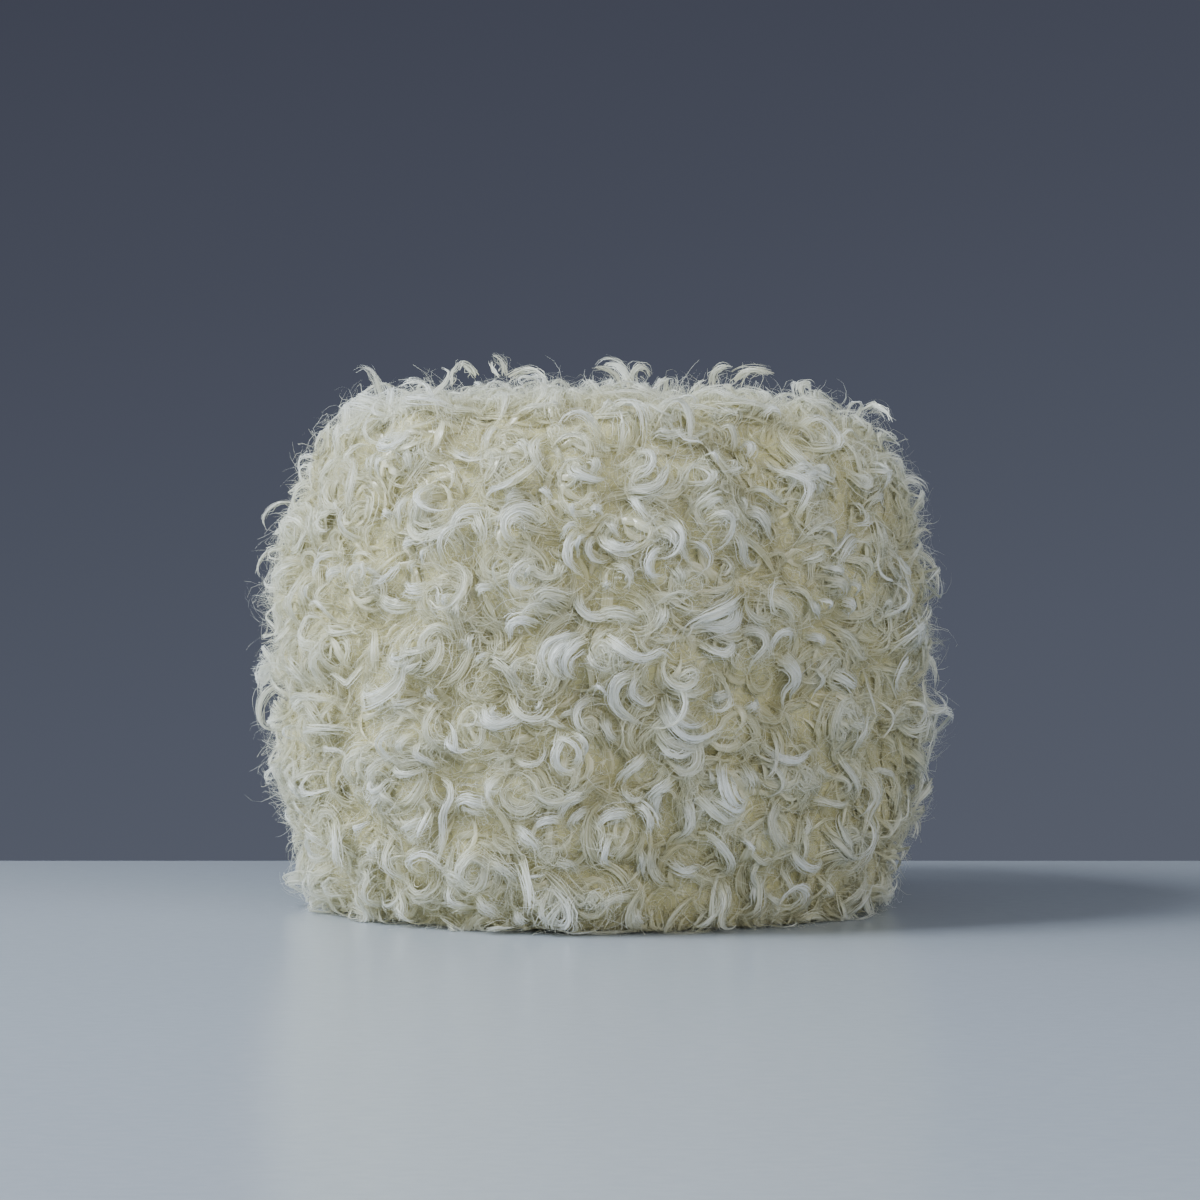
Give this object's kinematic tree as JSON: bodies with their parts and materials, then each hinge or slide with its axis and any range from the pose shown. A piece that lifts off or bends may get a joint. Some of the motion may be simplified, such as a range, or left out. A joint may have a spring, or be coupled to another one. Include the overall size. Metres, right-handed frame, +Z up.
{
  "type": "ball of curly boucle yarn",
  "caption": "Ball of cream, curly boucle yarn wound as a squat drum, standing on its flat end.",
  "frame": {"origin": "middle of the flat end that the ball stands on, under the middle of the ball's box", "axes": "+Z up through the drum, which is its shortest side; -Y is the side that the picture shows"},
  "size_m": [0.1108, 0.1094, 0.0866],
  "materials": {
    "cream_boucle": "glossy curls of fine fibre over a frizzy, slightly yellow ground"
  },
  "bodies": {
    "root": {"yarn_ball": "cream_boucle"}
  },
  "joints": []
}
